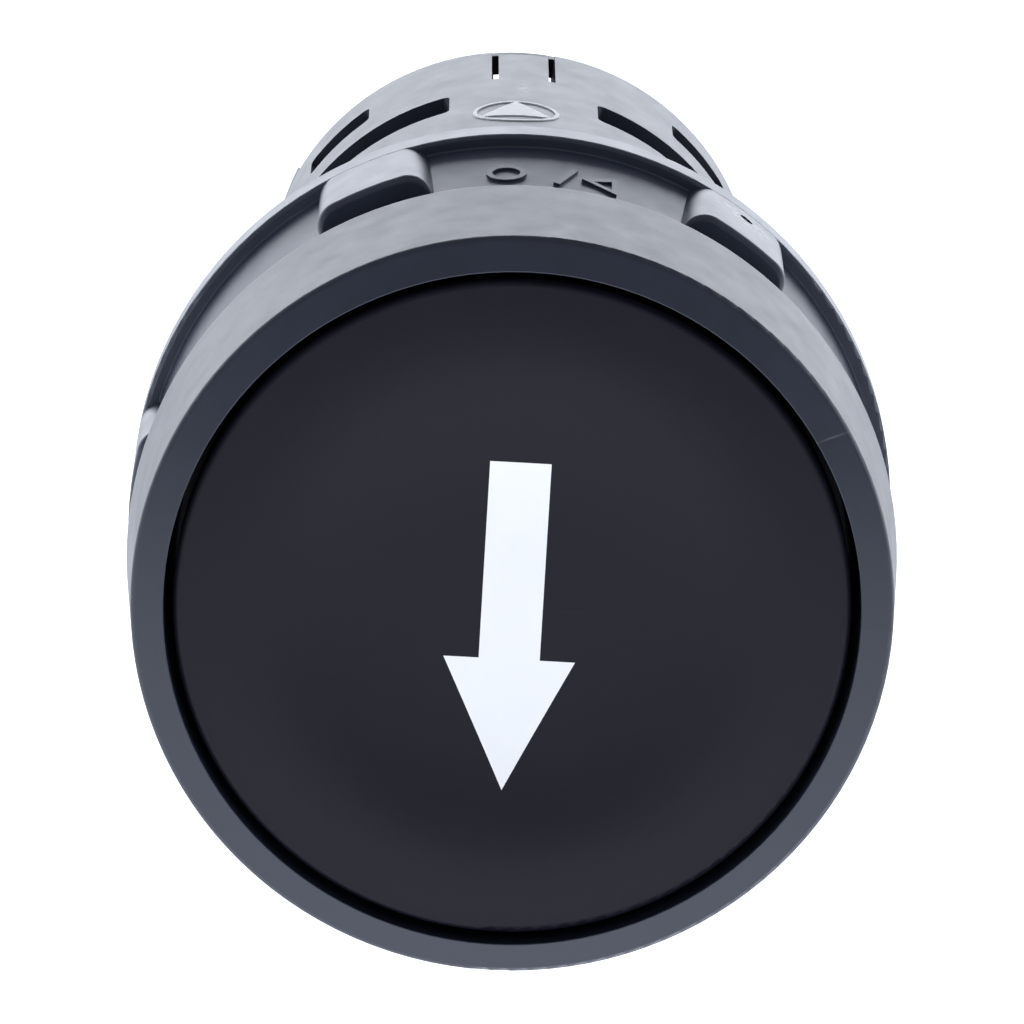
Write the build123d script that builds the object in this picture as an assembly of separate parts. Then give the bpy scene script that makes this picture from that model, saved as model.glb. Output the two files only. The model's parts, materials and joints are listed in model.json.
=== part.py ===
from build123d import *
import os
from math import cos, hypot, radians, sin, tan

# A 22 mm panel-mount push button, spring return, one normally open and one normally closed contact.
#
# Frame: the axis of the button is Y and +Z is up. Y = 0 is the rear seating face of the bezel, the
# plane of the panel's front face, so the bezel is at Y < 0 and the body runs back along +Y.
#
# Every piece is drawn as seen from the front, X to the right and Y up, at a depth behind the panel
# face, and is turned into the frame when it is written. Millimetres and degrees throughout. An angle
# round the axis counts clockwise from the top, as seen from the front.

# ---- driving dimensions -------------------------------------------------------------------------
HEAD_HEIGHT = 7.0            # panel face to the outer front edge of the bezel
BEZEL_FRONT_RADIUS = 14.45
BEZEL_REAR_RADIUS = 14.86
BEZEL_BORE = 13.19
RING_RISE = 0.50             # the bezel's inner edge stands this far in front of its outer edge
CUP_FLOOR = -1.30
GROOVE_INNER, GROOVE_OUTER, GROOVE_DEPTH = 11.90, 13.60, 0.60

NECK_RADIUS = 11.0           # plain collar that locates in a 22 mm panel hole
NECK_LENGTH = 2.0
THREAD_PITCH = 1.0
THREAD_TURNS = 15
THREAD_ROOT = 10.39
BARREL_BORE = 9.40
BARREL_END = 20.0
BARREL_SPIGOT = 10.40        # the barrel's front end, held in the floor of the bezel
LIP_BORE, LIP_REAR = 8.20, 0.80

BODY_RADIUS = 10.47
BODY_BORE = 9.50
BODY_END = 43.6
OVERALL_REAR = 46.5
SPIGOT_RADIUS = 9.35
SPRING_LEDGE = 15.0
LEDGE_BORE = 6.85

CAP_RADIUS = 12.84
CAP_SKIRT_REAR = -5.60
CAP_BOSS_RADIUS = 6.40

NUT_FRONT, NUT_REAR = 2.05, 9.65
NUT_BORE = 11.12
NUT_RIM_RADIUS = 14.94
NUT_RIM_FRONT = 8.0
NUT_WALL_RADIUS = 14.42      # the wall between the lugs, at the rim
NUT_WALL_SLOPE = 7.5         # how much it narrows from there to the front
LUG_COUNT = 6
LUG_FIRST_ANGLE = 34.5
LUG_FRONT = 3.40
LUG_WIDTH = 4.70             # across the crest, before its edges are rounded
LUG_CORNER = 1.0
LUG_WALL = 0.85
LUG_FOOT = 12.40             # radius of the floor of the pocket in each lug
NUT_MARK_HEIGHT = 0.10

CARRIER_HALF_WIDTH = 2.60    # the plunger's rear part, which carries the two contact bridges
CARRIER_HALF_HEIGHT = 4.90
CARRIER_FRONT, CARRIER_REAR = 21.5, 35.5
PLUNGER_FLANGE = (0.95, 2.45)
PLUNGER_SPIGOT = 4.95        # radius of the front end, held in the boss of the cap
PLUNGER_FLANGE_RADIUS = 9.20
PLUNGER_STEM = 6.70
PLUNGER_BORE, PLUNGER_BORE_END = 3.60, 18.0
TAIL_PIN, TAIL_PIN_END = 1.50, 41.0
RETURN_COIL_RADIUS, RETURN_WIRE_RADIUS, RETURN_TURNS = 7.85, 0.35, 6.5

BRIDGE_HEIGHT = 2.70         # the two bridges lie this far above and below the axis
BRIDGE_HALF_SPAN = 6.50
BRIDGE_WIDTH = 2.40
BRIDGE_THICKNESS = 0.50
TIP_RADIUS, TIP_THICKNESS = 1.10, 0.50
TIP_OFFSET = 5.40
NC_TIP_GAP = 0.03
NC_CONTACT = 27.60           # front face of the closed pair's fixed tips
NO_BRIDGE_FRONT = 27.20
NO_CONTACT = 31.30           # rear face of the open pair's fixed tips
NC_LOST_MOTION = 1.50        # how far the plunger moves before it lifts the closed bridge
NC_SPRING_LENGTH, NO_SPRING_LENGTH = 4.20, 5.00
NC_SPRING_TURNS, NO_SPRING_TURNS = 5.0, 5.5
CONTACT_COIL_RADIUS, CONTACT_WIRE_RADIUS = 0.95, 0.15
SPRING_PEG_RADIUS, SPRING_PEG_LENGTH = 0.55, 1.0
WINDOW_HEIGHT = 3.0

STRIP_INNER, STRIP_OUTER = 7.30, 7.90
STRIP_LOW, STRIP_HIGH = 0.70, 4.50
STRIP_THICKNESS = 0.60
TERMINAL_FRONT, TERMINAL_REAR = 43.0, 43.8
SCREW_X, SCREW_Y = 5.20, 4.20
SCREW_SHANK, SCREW_HEAD = 1.50, 2.10
SCREW_END, SCREW_SEAT, SCREW_TOP = 40.6, 44.5, 46.3
SCREW_SLOT_WIDTH, SCREW_SLOT_DEPTH = 0.60, 0.90
WASHER_HALF_WIDTH = 1.90
WASHER_FRONT, WASHER_REAR = 43.85, 44.45
BASE_RADIUS = 9.40
BASE_FRONT, BASE_BLOCK = 24.0, 37.0
SLACK = 0.05                 # clearance between pieces that fit together and don't move

FRONT_SLOT = (33.2, 36.1, 17.3, 56.0)    # front edge, rear edge, first and last angle each side
REAR_SLOT = (38.6, 40.9, 38.0, 57.0)
SLOT_CORNER = 0.35
TONGUE_ANGLE, SLIT_ANGLE = 5.8, 1.6
TONGUE_FRONT, TONGUE_REAR = 38.2, 42.95


# ---- shapes in the drawing frame ----------------------------------------------------------------
def disc(radius, front, rear, x=0.0, y=0.0):
    return Pos(x, y, -(front + rear) / 2) * Cylinder(radius, rear - front)


def tube(outer, inner, front, rear):
    return disc(outer, front, rear) - disc(inner, front - 1, rear + 1)


def block(x_range, y_range, front, rear):
    (x0, x1), (y0, y1) = x_range, y_range
    middle = Pos((x0 + x1) / 2, (y0 + y1) / 2, -(front + rear) / 2)
    return middle * Box(x1 - x0, y1 - y0, rear - front)


def turned(points):
    """A closed outline of (radius, depth) points, turned about the axis.

    A third number rounds that corner.
    """
    face = make_face(Polyline([(point[0], -point[1]) for point in points], close=True))
    for radius, depth, corner in [point for point in points if len(point) == 3]:
        face = fillet(face.vertices().sort_by_distance((radius, -depth))[0], corner)
    return Rot(90, 0, 0) * revolve(face, Axis.Y)


def swing(shape, angle):
    return Rot(0, 0, -angle) * shape


def wedge(start, end, front, rear, reach=20.0):
    """Everything between two angles round the axis, out to the reach."""
    edge = [(reach * sin(radians(a)), reach * cos(radians(a))) for a in (start, (start + end) / 2, end)]
    outline = Polyline([(0, 0), *edge], close=True)
    return Pos(0, 0, -rear) * extrude(make_face(outline), rear - front)


def coil(coil_radius, wire_radius, turns, front, rear, x=0.0, y=0.0):
    """An open-wound compression spring between two depths."""
    height = rear - front - 2 * wire_radius
    path = Helix(pitch=height / turns, height=height, radius=coil_radius)
    section = Plane(path @ 0, z_dir=path % 0) * Circle(wire_radius)
    spring = sweep(section, path=path, is_frenet=True)
    return Pos(x, y, -rear + wire_radius) * spring


def both_sides(shape):
    return [shape, mirror(shape, about=Plane.YZ)]


def write(name, *shapes):
    solids = [Rot(90, 0, 0) * solid for shape in shapes for solid in shape.solids()]
    whole = solids[0] if len(solids) == 1 else Compound(children=solids)
    export_step(whole, f"parts/{name}.step")


# ---- head ---------------------------------------------------------------------------------------
def thread_outline(start):
    """Outline of the outside thread, front to rear, as (radius, depth) points."""
    flat = THREAD_PITCH / 8
    points = []
    for turn in range(THREAD_TURNS):
        depth = start + turn * THREAD_PITCH
        points += [
            (THREAD_ROOT, depth + 3 * flat),
            (THREAD_ROOT, depth + 4 * flat),
            (NECK_RADIUS, depth + 7 * flat),
            (NECK_RADIUS, depth + 8 * flat),
        ]
    return points


def bezel():
    edge, fine = 0.30, 0.04
    return turned([
        (BEZEL_BORE, -HEAD_HEIGHT - RING_RISE, fine),
        (BEZEL_FRONT_RADIUS, -HEAD_HEIGHT, edge),
        (BEZEL_REAR_RADIUS, 0, edge),
        (GROOVE_OUTER, 0),
        (GROOVE_OUTER, -GROOVE_DEPTH),
        (GROOVE_INNER, -GROOVE_DEPTH),
        (GROOVE_INNER, 0),
        (BARREL_SPIGOT, 0),
        (BARREL_SPIGOT, CUP_FLOOR),
        (BEZEL_BORE, CUP_FLOOR, 0.3),
    ])


def threaded_barrel():
    thread_rear = NECK_LENGTH + THREAD_TURNS * THREAD_PITCH
    return turned([
        (BARREL_SPIGOT - SLACK / 2, CUP_FLOOR),
        (BARREL_SPIGOT - SLACK / 2, 0),
        (NECK_RADIUS, 0),
        (NECK_RADIUS, NECK_LENGTH),
        *thread_outline(NECK_LENGTH),
        (BODY_RADIUS, thread_rear + 0.4),
        (BODY_RADIUS, BARREL_END),
        (BARREL_BORE, BARREL_END),
        (BARREL_BORE, LIP_REAR),
        (LIP_BORE, LIP_REAR),
        (LIP_BORE, CUP_FLOOR),
    ])


def panel_gasket():
    proud = 0.25
    return tube(GROOVE_OUTER - SLACK, GROOVE_INNER + SLACK, -GROOVE_DEPTH, proud)


def lip_seal():
    inner = CAP_BOSS_RADIUS + 0.10
    return turned([
        (LIP_BORE, CUP_FLOOR + 0.1),
        (LIP_BORE, LIP_REAR - 0.1),
        (LIP_BORE - 0.7, LIP_REAR - 0.1),
        (inner + 0.5, 0.1),
        (inner, -0.8),
        (inner, CUP_FLOOR + 0.1),
    ])


def cap_blank():
    """The whole cap: a low crown near the rim, with a shallow finger dish inside it."""
    face = Spline(
        [(0, 0, 6.85), (4.5, 0, 6.90), (7.4, 0, 7.16), (9.6, 0, 7.43), (12.55, 0, 7.24)],
        tangents=[(1, 0, 0), (1, 0, -0.12)],
    )
    rim = ThreePointArc((12.55, 0, 7.24), (12.76, 0, 7.14), (CAP_RADIUS, 0, 6.93))
    inside = Polyline([
        (CAP_RADIUS, 0, 6.93),
        (CAP_RADIUS, 0, -CAP_SKIRT_REAR),
        (CAP_RADIUS - 1.0, 0, -CAP_SKIRT_REAR),
        (CAP_RADIUS - 1.0, 0, 6.15),
        (CAP_BOSS_RADIUS, 0, 6.15),
        (CAP_BOSS_RADIUS, 0, -0.90),
        (5.0, 0, -0.90),
        (5.0, 0, 5.20),
        (0, 0, 5.20),
        (0, 0, 6.85),
    ])
    return revolve(make_face(Curve() + [face, rim, inside]), Axis.Z)


def arrow_prism():
    """The arrow's outline, pointing down, as deep as the inlay goes."""
    half_shaft, half_head = 1.16, 2.50
    top, shoulder, point = 5.70, -2.05, -7.16
    outline = Polyline([
        (-half_shaft, top),
        (half_shaft, top),
        (half_shaft, shoulder),
        (half_head, shoulder),
        (0, point),
        (-half_head, shoulder),
        (-half_shaft, shoulder),
    ], close=True)
    return Pos(0, 0, 6.35) * extrude(make_face(outline), 2.0)


def plunger():
    flange_front, flange_rear = PLUNGER_FLANGE
    body = disc(PLUNGER_SPIGOT, CUP_FLOOR - 3.8, flange_front)
    body += disc(PLUNGER_FLANGE_RADIUS, flange_front, flange_rear)
    body += disc(PLUNGER_STEM, flange_rear, CARRIER_FRONT)
    body -= disc(PLUNGER_BORE, CUP_FLOOR - 5, PLUNGER_BORE_END)
    across = (-CARRIER_HALF_WIDTH, CARRIER_HALF_WIDTH)
    body += block(across, (-CARRIER_HALF_HEIGHT, CARRIER_HALF_HEIGHT), CARRIER_FRONT - 0.5, CARRIER_REAR)
    body += disc(TAIL_PIN, CARRIER_REAR, TAIL_PIN_END)
    through = (-CARRIER_HALF_WIDTH - 1, CARRIER_HALF_WIDTH + 1)
    upper = (BRIDGE_HEIGHT - WINDOW_HEIGHT / 2, BRIDGE_HEIGHT + WINDOW_HEIGHT / 2)
    lower = (-upper[1], -upper[0])
    nc_front = nc_bridge_front() - NC_LOST_MOTION
    nc_seat = nc_bridge_front() + BRIDGE_THICKNESS + NC_SPRING_LENGTH
    no_seat = NO_BRIDGE_FRONT - NO_SPRING_LENGTH
    no_rear = NO_BRIDGE_FRONT + BRIDGE_THICKNESS + SLACK
    body -= block(through, upper, nc_front, nc_seat)
    body -= block(through, lower, no_seat, no_rear)
    body += disc(SPRING_PEG_RADIUS, nc_seat - SPRING_PEG_LENGTH, nc_seat, y=BRIDGE_HEIGHT)
    body += disc(SPRING_PEG_RADIUS, no_seat, no_seat + SPRING_PEG_LENGTH, y=-BRIDGE_HEIGHT)
    return body


def return_spring():
    front = PLUNGER_FLANGE[1]
    return coil(RETURN_COIL_RADIUS, RETURN_WIRE_RADIUS, RETURN_TURNS, front, SPRING_LEDGE)


# ---- fixing nut ---------------------------------------------------------------------------------
def nut_wall(depth):
    """Radius of the nut's wall between the lugs at this depth."""
    return NUT_WALL_RADIUS - (NUT_RIM_FRONT - depth) * tan(radians(NUT_WALL_SLOPE))


def lug_section(width, top, corner):
    """Cross-section of a lug, square to the axis: upright flanks, a top round the axis, round corners."""
    shape = Pos(0, LUG_FOOT + top / 2) * Rectangle(width, top) & Circle(top)
    return fillet([v for v in shape.vertices() if v.Y > LUG_FOOT + corner], corner)


def lug_hood():
    """One lug, at the top: a loaf from inside the rim to its own front, which is rounded over."""
    rear = (NUT_REAR + NUT_RIM_FRONT) / 2
    loaf = extrude(lug_section(LUG_WIDTH, NUT_RIM_RADIUS - 0.01, LUG_CORNER), rear - LUG_FRONT)
    loaf = Pos(0, 0, -rear) * loaf
    front = loaf.faces().sort_by(Axis.Z)[-1]
    return fillet([edge for edge in front.edges() if edge.center().Y > NUT_WALL_RADIUS - 1], 0.25)


def lug_pocket():
    """What is hollow in one lug, at the top, and the way into it from the front."""
    width = LUG_WIDTH - 1.3
    hollow = lug_section(width, NUT_RIM_RADIUS - LUG_WALL, LUG_CORNER - 0.4)
    hollow = extrude(hollow, NUT_RIM_FRONT - NUT_FRONT + 1)
    mouth = block((-width / 2, width / 2), (LUG_FOOT, NUT_RIM_RADIUS + 1), NUT_FRONT - 1, LUG_FRONT)
    return Pos(0, 0, -NUT_RIM_FRONT) * hollow + mouth


def nut_marks():
    """Plain raised marks between two lugs: a ring, a bar and a triangle."""
    middle = NUT_FRONT + 2.95
    wall = nut_wall(middle)
    ring = Circle(0.78) - Circle(0.54)
    bar = Rot(0, 0, -22) * Rectangle(0.26, 1.9)
    triangle = Polygon((-0.75, 0), (0.65, -0.85), (0.65, 0.85), align=None)
    triangle -= Polygon((-0.28, 0), (0.43, -0.43), (0.43, 0.43), align=None)
    marks = []
    for shape, angle in ((ring, -4.1), (bar, 5.3), (triangle, 10.9)):
        standing = extrude(shape, 0.4 + NUT_MARK_HEIGHT)
        standing = Pos(0, wall, -middle) * (Rot(-90 + NUT_WALL_SLOPE, 0, 0) * (Pos(0, 0, -0.4) * standing))
        marks.append(swing(standing, angle))
    return marks


def fixing_nut():
    edge = 0.16
    nut = turned([
        (NUT_BORE, NUT_FRONT),
        (nut_wall(NUT_FRONT), NUT_FRONT, edge),
        (NUT_WALL_RADIUS, NUT_RIM_FRONT, 0.08),
        (NUT_RIM_RADIUS, NUT_RIM_FRONT, edge),
        (NUT_RIM_RADIUS, NUT_REAR, edge),
        (NUT_BORE + 0.4, NUT_REAR),
        (NUT_BORE, NUT_REAR - 0.4),
    ])
    for mark in nut_marks():
        nut += mark
    angles = [LUG_FIRST_ANGLE + number * 360 / LUG_COUNT for number in range(LUG_COUNT)]
    for angle in angles:
        nut += swing(lug_hood(), angle)
    for angle in angles:
        nut -= swing(lug_pocket(), angle)
    pit = Pos(0, NUT_RIM_RADIUS, -6.9) * (Rot(90, 0, 0) * Cylinder(0.30, 0.3))
    return nut - swing(pit, LUG_FIRST_ANGLE)


# ---- body ---------------------------------------------------------------------------------------
def is_slot_corner(edge):
    """True for the short straight edges, pointing at the axis, at the corners of the body's slots."""
    middle = edge.center()
    wall = BODY_RADIUS - BODY_BORE
    inside_wall = BODY_BORE < hypot(middle.X, middle.Y) < BODY_RADIUS
    return inside_wall and edge.geom_type == GeomType.LINE and edge.length < wall + 0.1


def body_shell():
    shell = turned([
        (LEDGE_BORE, SPRING_LEDGE),
        (SPIGOT_RADIUS, SPRING_LEDGE),
        (SPIGOT_RADIUS, BARREL_END),
        (BODY_RADIUS, BARREL_END),
        (BODY_RADIUS, BODY_END, 0.15),
        (BODY_BORE, BODY_END),
        (BODY_BORE, 21.4),
        (8.3, 21.4),
        (8.3, 16.6),
        (LEDGE_BORE, 16.6),
    ])
    for front, rear, first, last in (FRONT_SLOT, REAR_SLOT):
        for middle in (0, 180):
            shell -= wedge(middle + first, middle + last, front, rear)
            shell -= wedge(middle - last, middle - first, front, rear)
    shell = fillet([edge for edge in shell.edges() if is_slot_corner(edge)], SLOT_CORNER)
    for middle in (0, 180):
        for side in (-1, 1):
            first = middle + side * TONGUE_ANGLE
            last = middle + side * (TONGUE_ANGLE + SLIT_ANGLE)
            shell -= wedge(min(first, last), max(first, last), TONGUE_FRONT, BODY_END + 1)
        shell -= wedge(middle - TONGUE_ANGLE - 0.2, middle + TONGUE_ANGLE + 0.2, TONGUE_REAR, BODY_END + 1)
    return shell


def orientation_mark():
    """A plain ring round a solid triangle that touches it, printed at the top of the body."""
    depth, radius, line, thickness = 31.9, 1.80, 0.17, 0.05
    skin = tube(BODY_RADIUS + thickness, BODY_RADIUS, depth - 3, depth + 3)
    drawing = Circle(radius) - Circle(radius - line)
    drawing += RegularPolygon(radius - line / 2, 3, rotation=90)
    stamp = Pos(0, BODY_RADIUS - 2, -depth) * (Rot(-90, 0, 0) * extrude(drawing, 4))
    return swing(skin & stamp, -1.9)


def contact_base():
    base = disc(BASE_RADIUS, BASE_BLOCK, TERMINAL_FRONT)
    gap = STRIP_OUTER + SLACK
    cheeks = disc(BASE_RADIUS, BASE_FRONT, BASE_BLOCK)
    base += cheeks - block((-gap, gap), (-12, 12), BASE_FRONT, BASE_BLOCK)
    for x_range, y_range in (((-0.6, 0.6), (-12, 12)), ((-12, 12), (-0.6, 0.6))):
        wall = block(x_range, y_range, TERMINAL_FRONT, OVERALL_REAR)
        base += wall & disc(BASE_RADIUS, TERMINAL_FRONT, OVERALL_REAR)
    base += disc(2.4, TERMINAL_FRONT, OVERALL_REAR)
    flange_front = BODY_END + SLACK
    base += tube(BODY_RADIUS - 0.2, BASE_RADIUS + SLACK, flange_front, flange_front + 0.6)
    for middle in (90, 270):
        side_wall = tube(BODY_RADIUS - 0.2, BASE_RADIUS - 0.5, flange_front, OVERALL_REAR)
        base += side_wall & wedge(middle - 24, middle + 24, BODY_END, OVERALL_REAR)
    base -= block((-3.0, 3.0), (-5.3, 5.3), BASE_BLOCK - 1, 40.2)
    base -= disc(1.7, 40.0, 45.2)
    for side in (-1, 1):
        for level in (-1, 1):
            inner = sorted((side * (STRIP_INNER - SLACK), side * (STRIP_OUTER + SLACK)))
            strip = sorted((level * (STRIP_LOW - SLACK), level * (STRIP_HIGH + SLACK)))
            base -= block(inner, strip, BASE_BLOCK - 1, TERMINAL_FRONT + 1)
            base -= disc(1.7, 40.4, TERMINAL_FRONT + 1, side * SCREW_X, level * SCREW_Y)
    for middle in (0, 180):
        catch = tube(BODY_RADIUS - 0.05, BASE_RADIUS - 0.6, TERMINAL_FRONT - 0.5, BODY_END)
        catch &= wedge(middle - TONGUE_ANGLE + 0.4, middle + TONGUE_ANGLE - 0.4, TONGUE_REAR + 0.12, BODY_END)
        base += catch
    return base


# ---- contacts -----------------------------------------------------------------------------------
def nc_bridge_front():
    return NC_CONTACT + 2 * TIP_THICKNESS + NC_TIP_GAP


def terminal(contact_front, level):
    """One right-hand terminal: contact tab, strip along the wall, and clamping tab."""
    y_range = sorted((level * STRIP_LOW, level * STRIP_HIGH))
    contact_rear = contact_front + STRIP_THICKNESS
    contact = block((TIP_OFFSET - TIP_RADIUS, STRIP_OUTER), y_range, contact_front, contact_rear)
    strip = block((STRIP_INNER, STRIP_OUTER), y_range, contact_front, TERMINAL_REAR)
    tab_range = sorted((level * 1.1, level * 6.3))
    tab = block((3.2, STRIP_OUTER), tab_range, TERMINAL_FRONT + SLACK, TERMINAL_REAR)
    tab -= disc(SCREW_SHANK + 0.02, TERMINAL_FRONT - 1, TERMINAL_REAR + 1, SCREW_X, level * SCREW_Y)
    piece = contact + strip + tab
    return piece & disc(BASE_RADIUS - 0.3, contact_front - 1, TERMINAL_REAR + 1)


def bridge(front, level):
    """A contact bridge: a flat bar with round ends."""
    middle = level * BRIDGE_HEIGHT
    half = BRIDGE_WIDTH / 2
    straight = BRIDGE_HALF_SPAN - half
    rear = front + BRIDGE_THICKNESS
    bar = block((-straight, straight), (middle - half, middle + half), front, rear)
    for x in (-straight, straight):
        bar += disc(half, front, rear, x, middle)
    return bar


def tips(front, level):
    return both_sides(disc(TIP_RADIUS, front, front + TIP_THICKNESS, TIP_OFFSET, level * BRIDGE_HEIGHT))


def contact_spring(turns, front, rear, level):
    middle = level * BRIDGE_HEIGHT
    return coil(CONTACT_COIL_RADIUS, CONTACT_WIRE_RADIUS, turns, front, rear, y=middle)


def terminal_screw(x, y):
    half_slot = SCREW_SLOT_WIDTH / 2
    head = disc(SCREW_HEAD, SCREW_SEAT, SCREW_TOP, x, y)
    slot_floor = SCREW_TOP - SCREW_SLOT_DEPTH
    head -= block((x - 3, x + 3), (y - half_slot, y + half_slot), slot_floor, SCREW_TOP + 1)
    return head + disc(SCREW_SHANK, SCREW_END, SCREW_SEAT, x, y)


def clamp_washer(x, y):
    half = WASHER_HALF_WIDTH
    plate = block((x - half, x + half), (y - half, y + half), WASHER_FRONT, WASHER_REAR)
    return plate - disc(SCREW_SHANK + 0.1, WASHER_FRONT - 1, WASHER_REAR + 1, x, y)


def corners(make):
    return [make(x, y) for x in (-SCREW_X, SCREW_X) for y in (-SCREW_Y, SCREW_Y)]


# ---- assembly -----------------------------------------------------------------------------------
os.makedirs("parts", exist_ok=True)
UP, DOWN = 1, -1
NC_FRONT = nc_bridge_front()

write("bezel", bezel())
write("threaded_barrel", threaded_barrel())
write("panel_gasket", panel_gasket())
write("lip_seal", lip_seal())
write("button_cap", cap_blank() - arrow_prism())
write("arrow_inlay", cap_blank() & arrow_prism())
write("plunger", plunger())
write("return_spring", return_spring())
write("fixing_nut", fixing_nut())
write("body_shell", body_shell())
write("orientation_mark", orientation_mark())
write("contact_base", contact_base())

nc_right, nc_left = both_sides(terminal(NC_CONTACT - STRIP_THICKNESS, UP))
no_right, no_left = both_sides(terminal(NO_CONTACT, DOWN))
write("nc_terminal_right", nc_right)
write("nc_terminal_left", nc_left)
write("no_terminal_right", no_right)
write("no_terminal_left", no_left)
write("nc_fixed_tips", *tips(NC_CONTACT, UP))
write("no_fixed_tips", *tips(NO_CONTACT - TIP_THICKNESS, DOWN))

write("nc_bridge", bridge(NC_FRONT, UP))
write("nc_bridge_tips", *tips(NC_FRONT - TIP_THICKNESS, UP))
nc_spring_front = NC_FRONT + BRIDGE_THICKNESS
nc_spring_rear = nc_spring_front + NC_SPRING_LENGTH
write("nc_contact_spring", contact_spring(NC_SPRING_TURNS, nc_spring_front, nc_spring_rear, UP))
write("no_bridge", bridge(NO_BRIDGE_FRONT, DOWN))
write("no_bridge_tips", *tips(NO_BRIDGE_FRONT + BRIDGE_THICKNESS, DOWN))
no_spring_front = NO_BRIDGE_FRONT - NO_SPRING_LENGTH
write("no_contact_spring", contact_spring(NO_SPRING_TURNS, no_spring_front, NO_BRIDGE_FRONT, DOWN))

write("terminal_screws", *corners(terminal_screw))
write("clamp_washers", *corners(clamp_washer))
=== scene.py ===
import json
import math

import bpy
import numpy as np
from mathutils import Matrix, Vector


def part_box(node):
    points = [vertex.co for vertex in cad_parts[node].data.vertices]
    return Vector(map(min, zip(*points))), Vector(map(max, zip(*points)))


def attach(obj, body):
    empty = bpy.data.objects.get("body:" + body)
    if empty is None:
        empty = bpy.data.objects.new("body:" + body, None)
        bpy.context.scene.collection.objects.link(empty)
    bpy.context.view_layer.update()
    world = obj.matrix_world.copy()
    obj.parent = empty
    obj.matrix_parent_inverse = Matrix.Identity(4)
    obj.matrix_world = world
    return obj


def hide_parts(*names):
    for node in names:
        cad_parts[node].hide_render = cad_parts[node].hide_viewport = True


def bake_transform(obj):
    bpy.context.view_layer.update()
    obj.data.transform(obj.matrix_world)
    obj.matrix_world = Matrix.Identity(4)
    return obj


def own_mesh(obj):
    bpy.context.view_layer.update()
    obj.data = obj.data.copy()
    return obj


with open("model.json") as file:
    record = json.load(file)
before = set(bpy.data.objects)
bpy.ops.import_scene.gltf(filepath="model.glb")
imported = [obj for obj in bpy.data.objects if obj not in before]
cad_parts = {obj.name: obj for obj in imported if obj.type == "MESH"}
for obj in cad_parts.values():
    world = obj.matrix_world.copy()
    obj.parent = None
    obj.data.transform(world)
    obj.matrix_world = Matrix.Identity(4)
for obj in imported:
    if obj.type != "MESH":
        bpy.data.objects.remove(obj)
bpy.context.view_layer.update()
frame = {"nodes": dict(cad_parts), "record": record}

# A 22 mm push button held by its neck above a pale floor. Its axis is Y, the cap faces -Y and +Z is up.
# Lengths in this script are millimetres and angles degrees until MM turns them into the frame's metres.
MM = 0.001


# ---- materials ----------------------------------------------------------------------------------
class Shader:
    """A small helper that adds nodes to one material and links them."""

    def __init__(self, name):
        self.name = name
        self.material = bpy.data.materials.new(name)
        self.material.use_nodes = True
        self.tree = self.material.node_tree
        self.surface = self.tree.nodes["Principled BSDF"]
        self.place = self.tree.nodes.new("ShaderNodeTexCoord").outputs["Object"]

    def node(self, kind, inputs=(), **settings):
        node = self.tree.nodes.new("ShaderNode" + kind)
        for name, value in settings.items():
            setattr(node, name, value)
        for name, value in dict(inputs).items():
            self.put(value, node.inputs[name])
        return node

    def put(self, value, socket):
        if isinstance(value, bpy.types.NodeSocket):
            self.tree.links.new(value, socket)
        else:
            socket.default_value = value

    def set(self, **values):
        for name, value in values.items():
            self.put(value, self.surface.inputs[name.replace("_", " ")])

    def noise(self, size, detail=3.0, roughness=0.5):
        """Noise whose blobs are about this many millimetres across."""
        inputs = {"Vector": self.place, "Scale": 1 / (size * MM), "Detail": detail, "Roughness": roughness}
        return self.node("TexNoise", inputs).outputs["Fac"]

    def spread(self, value, low, high, start=0.3, end=0.7):
        inputs = {"Value": value, "From Min": start, "From Max": end, "To Min": low, "To Max": high}
        return self.node("MapRange", inputs).outputs["Result"]

    def shades(self, value, dark, light):
        """A colour that runs from dark to light as value goes from 0.3 to 0.7."""
        ramp = self.node("ValToRGB", {"Fac": value})
        ramp.color_ramp.elements[0].position = 0.3
        ramp.color_ramp.elements[0].color = (*dark, 1)
        ramp.color_ramp.elements[1].position = 0.7
        ramp.color_ramp.elements[1].color = (*light, 1)
        return ramp.outputs["Color"]

    def near(self, centre, reach):
        """1 at a place on the object, falling smoothly to 0 at this many millimetres from it."""
        inputs = {0: self.place, 1: Vector(centre) * MM}
        distance = self.node("VectorMath", inputs, operation="DISTANCE").outputs["Value"]
        return self.spread(distance, 1.0, 0.0, 0.0, reach * MM)

    def line(self, centre, across, width):
        """1 on a straight line through a place, falling to 0 at half its width.

        across is the direction that points off the line.
        """
        offset = self.node("VectorMath", {0: self.place, 1: Vector(centre) * MM}, operation="SUBTRACT")
        inputs = {0: offset.outputs["Vector"], 1: Vector(across).normalized()}
        along = self.node("VectorMath", inputs, operation="DOT_PRODUCT").outputs["Value"]
        aside = self.node("Math", {0: along}, operation="ABSOLUTE").outputs["Value"]
        return self.spread(aside, 1.0, 0.0, 0.0, width / 2 * MM)

    def times(self, first, second):
        return self.node("Math", {0: first, 1: second}, operation="MULTIPLY").outputs["Value"]

    def mixed(self, share, base, over):
        """base where share is 0 and over where it is 1."""
        node = self.node("Mix", {"Factor": share}, data_type="RGBA")
        colours = [socket for socket in node.inputs if socket.type == "RGBA"]
        self.put(base, colours[0])
        self.put((*over, 1), colours[1])
        return [socket for socket in node.outputs if socket.type == "RGBA"][0]

    def whiten(self, mask, colour):
        """Scuff the base colour towards a paler one where the mask is."""
        socket = self.surface.inputs["Base Color"]
        self.set(Base_Color=self.mixed(mask, socket.links[0].from_socket, colour))

    def bump(self, height, depth, strength=1.0, under=None):
        """Relief of this many millimetres, laid over any relief under it."""
        inputs = {"Height": height, "Distance": depth * MM, "Strength": strength}
        if under is not None:
            inputs["Normal"] = under
        return self.node("Bump", inputs).outputs["Normal"]


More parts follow.
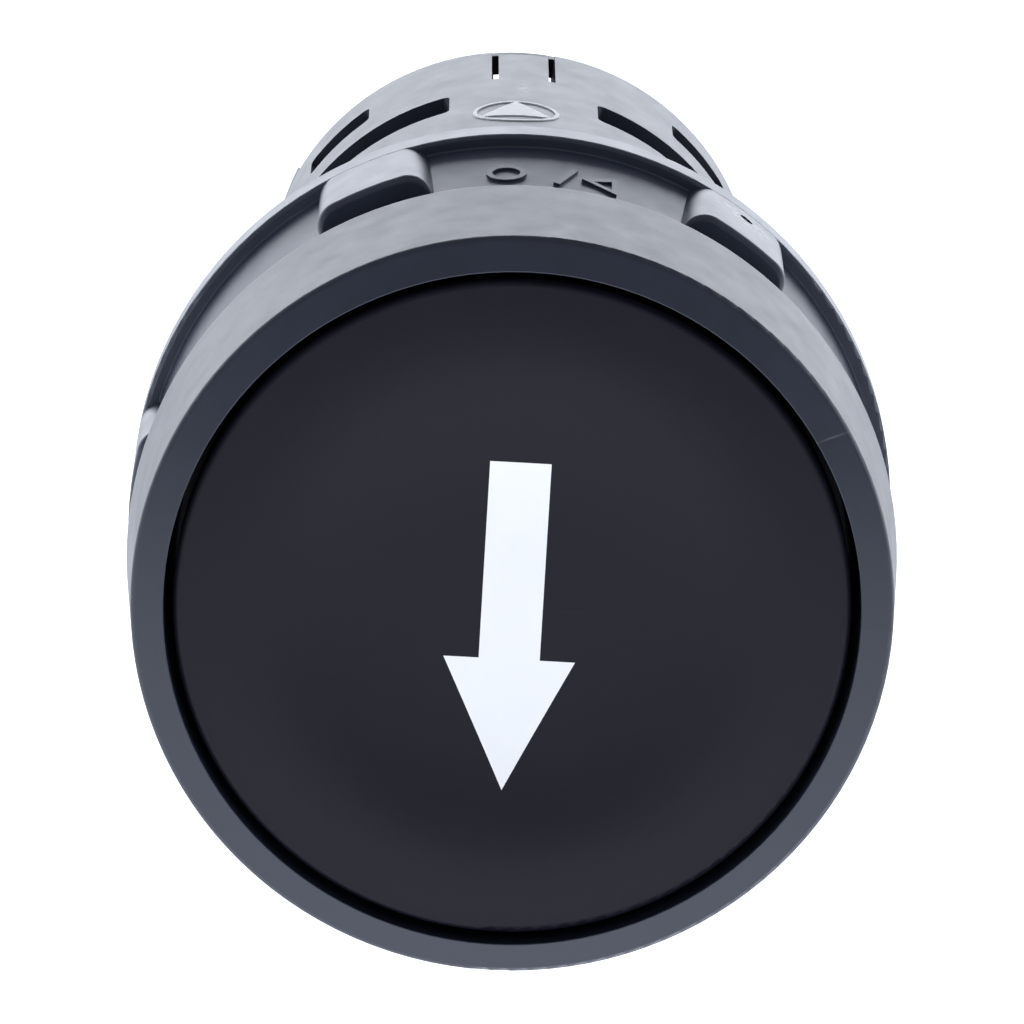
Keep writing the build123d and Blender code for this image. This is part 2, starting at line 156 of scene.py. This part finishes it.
def tint(colour, share):
    return tuple(min(1.0, part * share) for part in colour)


def moulded(name, colour, roughness, grain=0.12, relief=0.004, mottle=0.10, gloss=0.5):
    """Moulded plastic: a fine spark-eroded grain, slightly uneven colour and gloss."""
    shader = Shader(name)
    patches = shader.noise(1.6, detail=4, roughness=0.6)
    fine = shader.noise(grain, detail=2)
    shader.set(
        Base_Color=shader.shades(patches, tint(colour, 1 - mottle), tint(colour, 1 + mottle)),
        Roughness=shader.spread(patches, roughness - 0.03, roughness + 0.03),
        Normal=shader.bump(fine, relief),
        Specular_IOR_Level=gloss,
    )
    return shader


def metal(name, colour, roughness, brushed=0.05):
    """Rolled or drawn metal with fine marks from its making and a little tarnish."""
    shader = Shader(name)
    marks = shader.noise(brushed, detail=2)
    tarnish = shader.noise(1.2, detail=5)
    shader.set(
        Base_Color=shader.shades(tarnish, tint(colour, 0.82), tint(colour, 1.05)),
        Metallic=1.0,
        Roughness=shader.spread(tarnish, roughness - 0.06, roughness + 0.10),
        Normal=shader.bump(marks, 0.002),
    )
    return shader


DARK_GREY = (0.0140, 0.0180, 0.0330)
# The nut's grey is lighter than the housing grey as painted light: it stands in for the bounce light that
# the nut's front faces get in the bezel's shade.
NUT_GREY_WITH_PAINTED_BOUNCE = (0.0300, 0.0370, 0.0600)
CAP_BLACK = (0.0062, 0.0054, 0.0112)
SHADERS = [
    moulded("housing_plastic", DARK_GREY, 0.42),
    moulded("nut_plastic", NUT_GREY_WITH_PAINTED_BOUNCE, 0.38),
    moulded("cap_plastic", CAP_BLACK, 0.46, gloss=0.19),
    moulded("white_plastic", (0.90, 0.90, 0.90), 0.45, mottle=0.01, gloss=0.3),
    moulded("white_ink", (0.90, 0.90, 0.90), 0.55, mottle=0.02, gloss=0.3),
    moulded("seal_rubber", (0.012, 0.012, 0.013), 0.75, mottle=0.15, gloss=0.3),
    moulded("plunger_plastic", (0.62, 0.60, 0.52), 0.35, mottle=0.03),
    moulded("base_plastic", (0.022, 0.026, 0.042), 0.50),
    metal("spring_steel", (0.56, 0.56, 0.58), 0.25),
    metal("contact_copper", (0.72, 0.42, 0.28), 0.30),
    metal("contact_silver", (0.80, 0.79, 0.76), 0.28),
    metal("terminal_brass", (0.66, 0.52, 0.27), 0.30),
    metal("plated_steel", (0.60, 0.60, 0.62), 0.30),
]
SHADER = {shader.name: shader for shader in SHADERS}
MATERIALS = {shader.name: shader.material for shader in SHADERS}


def on_axis_circle(radius, angle, y):
    """A point at this radius, this many degrees clockwise from the top as seen from the front."""
    return (radius * math.sin(math.radians(angle)), y, radius * math.cos(math.radians(angle)))


NUT_RADIUS = 14.93
LUG_ANGLE = 34.5
BODY_RADIUS = 10.47


def add_marks():
    """Small marks from moulding and handling."""
    gate = on_axis_circle(NUT_RADIUS, LUG_ANGLE, 6.9)        # rubbed spot where the sprue broke off a lug
    nut = SHADER["nut_plastic"]
    flecks = nut.spread(nut.noise(0.28, detail=4, roughness=0.7), 0.0, 0.9, 0.52, 0.62)
    nut.whiten(nut.times(flecks, nut.near(gate, 1.5)), (0.42, 0.42, 0.43))

    housing = SHADER["housing_plastic"]
    scratch = on_axis_circle(13.8, 57.5, -7.2)               # a hairline on the front of the bezel
    hairline = housing.times(housing.line(scratch, (0.30, 0.0, -0.95), 0.10), housing.near(scratch, 0.9))
    housing.whiten(hairline, (0.10, 0.105, 0.12))
    smear = (0.0, 36.1, BODY_RADIUS)                         # a rubbed stripe behind the round mark
    stripe = housing.times(housing.line(smear, (1.0, 0.0, 0.0), 0.9), housing.near(smear, 2.2))
    housing.whiten(housing.times(stripe, housing.spread(housing.noise(0.3), 0.0, 0.8)), (0.20, 0.20, 0.21))


add_marks()

SLOT_OF = {row["node"]: row["material_slot"] for row in frame["record"]["subparts"]}
for node_name, node in frame["nodes"].items():
    for material_slot in node.material_slots:
        material_slot.material = MATERIALS[SLOT_OF[node_name]]


# ---- mesh pieces --------------------------------------------------------------------------------
TURN = 2 * math.pi
SHARP_ANGLE = 32              # edges that turn more than this are shaded as edges


def add_piece(name, points, faces, node, body):
    """A smooth mesh piece, drawn in millimetres, that stands for a CAD node and takes its material."""
    mesh = bpy.data.meshes.new(name)
    mesh.from_pydata((np.asarray(points) * MM).tolist(), [], faces)
    mesh.validate()
    mesh.shade_smooth()
    mesh.set_sharp_from_angle(angle=math.radians(SHARP_ANGLE))
    mesh.materials.append(MATERIALS[SLOT_OF[node]])
    piece = bpy.data.objects.new(name, mesh)
    bpy.context.scene.collection.objects.link(piece)
    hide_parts(node)
    if body is not None:
        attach(piece, body)
    return piece


def grid_faces(rows, columns, closed_rows=False, offset=0):
    """Quads of a grid whose columns run round a closed loop."""
    faces = []
    for row in range(rows if closed_rows else rows - 1):
        this_row = offset + row * columns
        next_row = offset + (row + 1) % rows * columns
        for column in range(columns):
            after = (column + 1) % columns
            faces.append((this_row + column, this_row + after, next_row + after, next_row + column))
    return faces


def lathe(profile, columns, swell):
    """A closed outline of (radius, y) turned about the Y axis. swell(angle, row, y) changes the radius."""
    points = []
    for row, (radius, y) in enumerate(profile):
        for column in range(columns):
            angle = TURN * column / columns
            swollen = radius + swell(angle, row, y)
            points.append((swollen * math.sin(angle), y, swollen * math.cos(angle)))
    return points, grid_faces(len(profile), columns, closed_rows=True)


def smooth_step(value):
    value = min(1.0, max(0.0, value))
    return value * value * (3 - 2 * value)


def box_mm(node):
    low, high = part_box(node)
    return np.array(low) / MM, np.array(high) / MM


# ---- threaded barrel ----------------------------------------------------------------------------
PITCH = 1.0
NECK_LENGTH = 2.0
THREAD_END = 17.0
THREAD_DEPTH = 0.61
THREAD_ROWS = 24              # rows of the mesh in one pitch
BARREL_COLUMNS = 144
BARREL_BORE = 9.40
LIP_BORE = 8.20
LIP_REAR = 0.8
SPIGOT_STEP = 0.62            # from the neck down to the spigot that goes into the bezel
BARREL_EDGE = 0.1             # bevel on the barrel's edges
NECK_EDGE = 0.08
SHOULDER_LENGTH = 0.5         # behind the thread, down to the width of the body
GROOVE_HALF_WIDTH = 0.40      # in pitches, from the middle of the groove to the crest
GROOVE_FLANK = 0.32           # in pitches, along the axis


def thread_height(angle, y):
    """How deep the groove is here: a true helix with flat crests that fades in behind the neck."""
    phase = ((y - NECK_LENGTH) / PITCH - angle / TURN) % 1.0
    groove = smooth_step((GROOVE_HALF_WIDTH - abs(phase - 0.5)) / GROOVE_FLANK)
    fade_in = smooth_step((y - NECK_LENGTH) / (0.8 * PITCH))
    return -THREAD_DEPTH * groove * fade_in


def make_barrel():
    low, high = box_mm("threaded_barrel")
    neck_radius, front, rear = high[0], low[1], high[1]
    spigot = neck_radius - SPIGOT_STEP
    edge = BARREL_EDGE
    profile = [(LIP_BORE + edge, front), (spigot - edge, front), (spigot, front + edge), (spigot, 0.0)]
    profile += [(neck_radius - NECK_EDGE, 0.0), (neck_radius, NECK_EDGE)]
    length = THREAD_END - NECK_LENGTH
    rows = round(length / PITCH * THREAD_ROWS)
    first = len(profile)
    profile += [(neck_radius, NECK_LENGTH + length * row / rows) for row in range(rows + 1)]
    last = len(profile)
    profile += [(neck_radius - edge, THREAD_END + edge), (BODY_RADIUS, THREAD_END + SHOULDER_LENGTH)]
    profile += [(BODY_RADIUS, rear), (BARREL_BORE, rear), (BARREL_BORE, LIP_REAR)]
    profile += [(LIP_BORE, LIP_REAR), (LIP_BORE, front + edge)]

    def swell(angle, row, y):
        return thread_height(angle, y) if first <= row < last else 0.0

    points, faces = lathe(profile, BARREL_COLUMNS, swell)
    add_piece("barrel_with_thread", points, faces, "threaded_barrel", "housing")


make_barrel()


# ---- springs ------------------------------------------------------------------------------------
DEAD_TURNS = 1.0              # closed turns at each end of a spring
CLOSED_GAP = 1.04             # rise of a closed turn, in thicknesses of the wire
TURN_STEPS = 40
WIRE_SIDES = 12
WIRE_END = 0.72               # how much of its thickness the wire keeps at its rounded ends


def spring_path(mean_radius, wire, turns, front, rear, centre):
    """Centre line of a compression spring whose end turns are closed. wire is its radius."""
    path = []
    total = turns + 2 * DEAD_TURNS
    count = round(total * TURN_STEPS)
    closed_rise = CLOSED_GAP * 2 * wire
    start, end = front + wire, rear - wire
    open_rise = (end - start) - 2 * closed_rise * DEAD_TURNS
    for step in range(count + 1):
        turn = total * step / count
        middle = min(max((turn - DEAD_TURNS) / turns, 0.0), 1.0)
        dead = min(turn, DEAD_TURNS) + max(turn - DEAD_TURNS - turns, 0.0)
        y = start + closed_rise * dead + open_rise * middle
        angle = TURN * turn
        across, up = mean_radius * math.sin(angle), mean_radius * math.cos(angle)
        path.append((centre[0] + across, y, centre[1] + up))
    return np.array(path)


def wire_mesh(path, wire):
    """A round wire along a path, with rounded-over ends."""
    sides = WIRE_SIDES
    along = np.gradient(path, axis=0)
    along /= np.linalg.norm(along, axis=1)[:, None]
    side = np.cross(along, (0.0, 1.0, 0.0))
    side /= np.linalg.norm(side, axis=1)[:, None]
    up = np.cross(side, along)
    points = []
    rings = [(0, WIRE_END)] + [(i, 1.0) for i in range(1, len(path) - 1)] + [(len(path) - 1, WIRE_END)]
    for index, share in rings:
        for corner in range(sides):
            angle = TURN * corner / sides
            offset = math.cos(angle) * side[index] + math.sin(angle) * up[index]
            points.append(path[index] + wire * share * offset)
    faces = grid_faces(len(rings), sides)
    last = (len(rings) - 1) * sides
    faces.append(tuple(range(sides))[::-1])
    faces.append(tuple(range(last, last + sides)))
    return points, faces


def make_spring(name, node, body, mean_radius, wire, turns):
    low, high = box_mm(node)
    centre = ((low[0] + high[0]) / 2, (low[2] + high[2]) / 2)
    path = spring_path(mean_radius, wire, turns, low[1], high[1], centre)
    points, faces = wire_mesh(path, wire)
    return add_piece(name, points, faces, node, body)


RETURN_RADIUS, RETURN_WIRE, RETURN_TURNS = 7.85, 0.35, 5.0
CONTACT_RADIUS, CONTACT_WIRE = 0.95, 0.15
NO_TURNS, NC_TURNS = 5.0, 4.0

return_spring = make_spring(
    "return_coil", "return_spring", "housing", RETURN_RADIUS, RETURN_WIRE, RETURN_TURNS,
)
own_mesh(return_spring)

no_spring = make_spring(
    "no_contact_coil", "no_contact_spring", "button", CONTACT_RADIUS, CONTACT_WIRE, NO_TURNS,
)
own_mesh(no_spring)

nc_spring = make_spring(
    "nc_contact_coil", "nc_contact_spring", None, CONTACT_RADIUS, CONTACT_WIRE, NC_TURNS,
)
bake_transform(nc_spring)


# ---- camera -------------------------------------------------------------------------------------
SENSOR = 36.0
LENS = 326.25
VIEW_DISTANCE = 350.0
VIEW_ELEVATION = 15.18
VIEW_AZIMUTH = 0.14
ROLL = 3.3                   # the button is seen turned this far clockwise about its own axis
AIM = Vector((-0.01, -7.0, 3.77))


def make_camera():
    azimuth, elevation = math.radians(VIEW_AZIMUTH), math.radians(VIEW_ELEVATION)
    forward = Vector((
        math.sin(azimuth) * math.cos(elevation),
        math.cos(azimuth) * math.cos(elevation),
        -math.sin(elevation),
    ))
    data = bpy.data.cameras.new("camera")
    data.sensor_width = SENSOR
    data.lens = LENS
    data.clip_start = 0.01
    data.clip_end = 20.0
    camera = bpy.data.objects.new("camera", data)
    bpy.context.scene.collection.objects.link(camera)
    upright = Matrix.Translation((AIM - forward * VIEW_DISTANCE) * MM)
    upright = upright @ forward.to_track_quat("-Z", "Y").to_matrix().to_4x4()
    camera.matrix_world = Matrix.Rotation(math.radians(-ROLL), 4, "Y") @ upright
    bpy.context.scene.camera = camera


make_camera()


# ---- stage and light ----------------------------------------------------------------------------
# The button hangs over a glowing white table, with a white light wall round the back of it. Little
# light comes from the front and from above, so the faces towards the camera stay dark.
TABLE_DEPTH = 100.0
TABLE_RADIUS = 2400.0
TABLE_GLOW = (2.05, 1.55)     # at the centre, and beyond the reach
TABLE_REACH = 700.0
WALL_RADIUS = 800.0
WALL_HEIGHT = 560.0
WALL_CENTRE = (0.0, WALL_RADIUS, 420.0)
WALL_GLOW = (4.5, 1.9)
WALL_REACH = 720.0
WORLD_GLOW = 0.35
STAGE_STEPS = 48
LIGHT_TINT = (0.938, 0.984, 1.077)


def glowing(name, centre, glow_range, reach):
    """Opal acrylic lit from behind, brightest at its centre and fading with distance from it."""
    shader = Shader(name)
    inputs = {0: shader.place, 1: Vector(centre) * MM}
    distance = shader.node("VectorMath", inputs, operation="DISTANCE").outputs["Value"]
    glow = shader.spread(distance, *glow_range, 0.0, reach * MM)
    shader.set(
        Base_Color=(0.02, 0.02, 0.02, 1),
        Roughness=0.8,
        Specular_IOR_Level=0.0,
        Emission_Color=(*LIGHT_TINT, 1),
        Emission_Strength=glow,
    )
    return shader.material


def stage_mesh(name, points, faces, material):
    mesh = bpy.data.meshes.new(name)
    mesh.from_pydata([Vector(point) * MM for point in points], [], faces)
    mesh.materials.append(material)
    piece = bpy.data.objects.new(name, mesh)
    bpy.context.scene.collection.objects.link(piece)


def make_stage():
    steps = STAGE_STEPS
    ring = [math.radians(360 * step / steps) for step in range(steps)]
    points = [(TABLE_RADIUS * math.cos(a), TABLE_RADIUS * math.sin(a), -TABLE_DEPTH) for a in ring]
    table_glow = glowing("table_glow", (0, 0, 0), TABLE_GLOW, TABLE_REACH)
    stage_mesh("table", points, [tuple(range(steps))], table_glow)
    arc = [math.radians(180 * step / steps) for step in range(steps + 1)]
    points = []
    for height in (-TABLE_DEPTH, WALL_HEIGHT - TABLE_DEPTH):
        points += [(WALL_RADIUS * math.cos(a), WALL_RADIUS * math.sin(a), height) for a in arc]
    faces = [(i, i + 1, i + steps + 2, i + steps + 1) for i in range(steps)]
    stage_mesh("light_wall", points, faces, glowing("wall_glow", WALL_CENTRE, WALL_GLOW, WALL_REACH))


def make_light():
    world = bpy.data.worlds.new("studio")
    world.use_nodes = True
    background = world.node_tree.nodes["Background"]
    background.inputs["Color"].default_value = (*LIGHT_TINT, 1)
    background.inputs["Strength"].default_value = WORLD_GLOW
    bpy.context.scene.world = world


make_stage()
make_light()
bpy.context.scene.view_settings.view_transform = "Standard"
